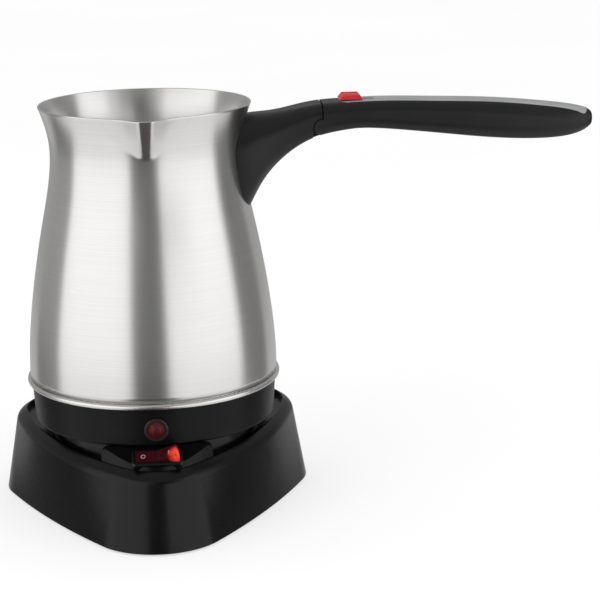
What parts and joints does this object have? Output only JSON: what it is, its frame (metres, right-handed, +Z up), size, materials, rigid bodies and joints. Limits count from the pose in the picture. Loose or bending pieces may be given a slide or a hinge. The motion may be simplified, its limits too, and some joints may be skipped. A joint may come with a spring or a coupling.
{
  "type": "electric turkish coffee maker",
  "caption": "Cordless electric Turkish coffee maker: a brushed steel jug with a pouring beak and a folding handle lifts off a three-cornered power base with a lit rocker switch.",
  "frame": {"origin": "on the table, under the jug's axis", "axes": "+X along the handle from the jug to its tip, -Y to the front where the spout, lamp and switch are, +Z up"},
  "size_m": [0.2462, 0.1225, 0.1683],
  "materials": {
    "black_shell": "fine moulded satin",
    "collar_black": "fine moulded satin",
    "foot_rubber": "matt",
    "zinc_screws": "zinc plated",
    "white_nylon": "matt",
    "connector_black": "matt",
    "brass_contacts": "bright",
    "switch_black": "gloss",
    "rocker_red": "translucent gloss",
    "lead_insulation": "satin",
    "brushed_steel": "brushed",
    "polished_steel": "polished",
    "cast_aluminium": "as cast",
    "element_sheath": "oxidised",
    "lamp_ring": "satin",
    "lamp_red": "translucent gloss",
    "lamp_glass": "clear",
    "spring_steel": "bright",
    "bolt_white": "satin",
    "cover_grey": "satin",
    "slide_red": "gloss"
  },
  "bodies": {
    "base": {"base_shell": "black_shell", "bottom_cover": "black_shell", "foot_ring": "foot_rubber", "cover_screws": "zinc_screws", "cord_grommet": "foot_rubber", "terminal_block": "white_nylon", "base_connector": "connector_black", "connector_blades": "brass_contacts", "connector_screws": "zinc_screws", "switch_body": "switch_black", "switch_blades": "brass_contacts", "base_leads": "lead_insulation"},
    "rocker": {"switch_rocker": "rocker_red"},
    "jug": {"jug_shell": "brushed_steel", "bottom_pan": "polished_steel", "heater_plate": "cast_aluminium", "heating_element": "element_sheath", "thermostat": "white_nylon", "lower_housing": "collar_black", "housing_screws": "zinc_screws", "lamp_bezel": "lamp_ring", "lamp_lens": "lamp_red", "neon_lamp": "lamp_glass", "jug_connector": "connector_black", "connector_contacts": "brass_contacts", "jug_leads": "lead_insulation", "handle_clip": "brushed_steel", "handle_bracket": "black_shell", "bracket_screw": "zinc_screws", "hinge_pin": "spring_steel"},
    "grip": {"grip_shell": "black_shell", "grip_cover": "cover_grey", "grip_screws": "zinc_screws", "latch_spring": "spring_steel"},
    "release": {"release_slide": "slide_red", "latch_bolt": "bolt_white"}
  },
  "joints": [
    {"name": "jug_lift", "type": "slide", "parent": "base", "child": "jug", "axis": [0, 0, 1], "range_m": [0, 0.08]},
    {"name": "handle_fold", "type": "hinge", "parent": "jug", "child": "grip", "pos_m": [0.0708, 0, 0.1562], "axis": [0, 1, 0], "range_deg": [0, 85]},
    {"name": "release_slide", "type": "slide", "parent": "grip", "child": "release", "axis": [1, 0, 0], "range_m": [0, 0.0045], "stiffness_N_per_m": 300, "springref_m": -0.002, "deforming": ["latch_spring"]},
    {"name": "rocker_tilt", "type": "hinge", "parent": "base", "child": "rocker", "pos_m": [0, -0.05523, 0.03461], "axis": [0, 0.9272, 0.3746], "range_deg": [0, 22]}
  ]
}
